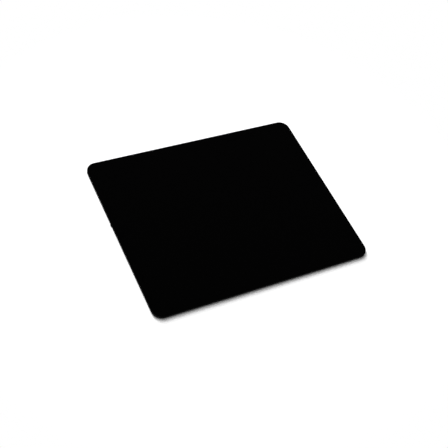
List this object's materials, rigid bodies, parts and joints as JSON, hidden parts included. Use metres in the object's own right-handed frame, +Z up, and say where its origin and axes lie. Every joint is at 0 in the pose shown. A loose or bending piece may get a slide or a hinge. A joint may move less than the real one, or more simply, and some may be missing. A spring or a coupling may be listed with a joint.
{
  "type": "mouse pad",
  "caption": "Plain black soft mouse pad: rounded rectangle of knitted cloth bonded to a sponge-rubber sheet with a ribbed non-slip rubber underside.",
  "frame": {"origin": "middle of the underside, on the plane of the rib crests that the pad rests on", "axes": "+X along the long side, +Y along the short side towards the far edge, +Z up out of the cloth"},
  "size_m": [0.25, 0.2, 0.003],
  "materials": {
    "jersey_cloth": "matt knitted polyester, near black",
    "adhesive_film": "hot-melt adhesive, dark by the dye that bleeds into it",
    "sponge_rubber": "cut open-celled sponge, matt black",
    "grip_rubber": "moulded, satin black"
  },
  "bodies": {
    "root": {"nonslip_backing": "grip_rubber", "foam_core": "sponge_rubber", "bonding_film": "adhesive_film", "cloth_top": "jersey_cloth"}
  },
  "joints": []
}
